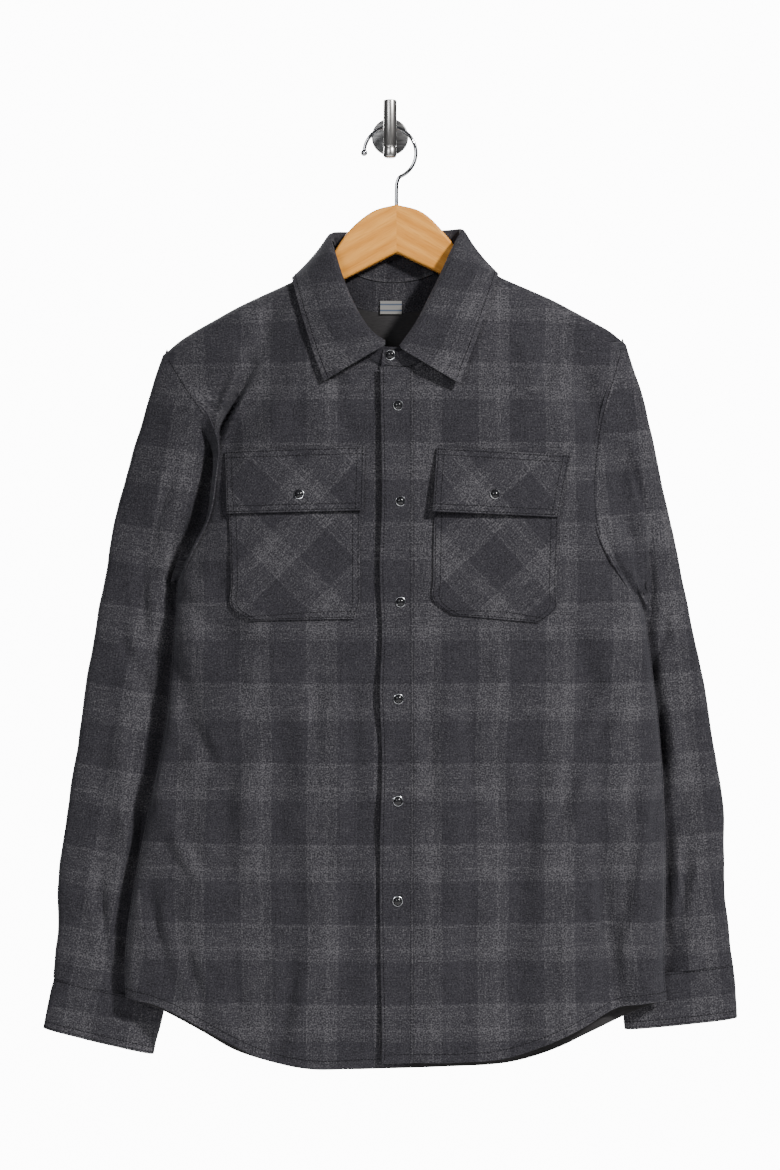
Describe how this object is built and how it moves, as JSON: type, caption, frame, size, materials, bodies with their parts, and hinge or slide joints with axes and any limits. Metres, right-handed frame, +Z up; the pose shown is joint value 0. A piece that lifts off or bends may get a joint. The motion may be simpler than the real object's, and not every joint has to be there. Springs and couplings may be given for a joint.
{
  "type": "plaid shacket on a wooden hanger and wall hook",
  "caption": "Long-sleeved plaid shirt-jacket with a snap placket, folded collar, bias patch pockets with flaps and banded cuffs, hung on a wooden hanger from a wall hook.",
  "frame": {"origin": "middle of the wall plate's back face, on the wall", "axes": "+Z up, +Y into the wall, so the garment's front faces -Y; +X to the viewer's right, which is the wearer's left"},
  "size_m": [0.7091, 0.0913, 0.9842],
  "materials": {
    "plaid_cloth": "brushed charcoal plaid flannel",
    "neck_tab_cloth": null,
    "snap_metal": "silver ring with a black glossy cap",
    "hanger_wood": "natural maple, satin lacquer",
    "hanger_wire": "bright plated wire",
    "hook_steel": "satin brushed steel"
  },
  "bodies": {
    "root": {"front_right": "plaid_cloth", "front_left": "plaid_cloth", "placket": "plaid_cloth", "back": "plaid_cloth", "yoke": "plaid_cloth", "sleeve_right": "plaid_cloth", "sleeve_left": "plaid_cloth", "cuff_right": "plaid_cloth", "cuff_left": "plaid_cloth", "collar_stand": "plaid_cloth", "collar_leaf": "plaid_cloth", "pocket_right": "plaid_cloth", "pocket_left": "plaid_cloth", "flap_right": "plaid_cloth", "flap_left": "plaid_cloth", "neck_tab": "neck_tab_cloth", "snap_front_1": "snap_metal", "snap_front_2": "snap_metal", "snap_front_3": "snap_metal", "snap_front_4": "snap_metal", "snap_front_5": "snap_metal", "snap_front_6": "snap_metal", "snap_stand": "snap_metal", "snap_flap_right": "snap_metal", "snap_flap_left": "snap_metal", "snap_cuff_right": "snap_metal", "snap_cuff_left": "snap_metal", "hanger_wood": "hanger_wood", "hanger_hook": "hanger_wire", "wall_plate": "hook_steel", "wall_peg": "hook_steel"}
  },
  "joints": []
}
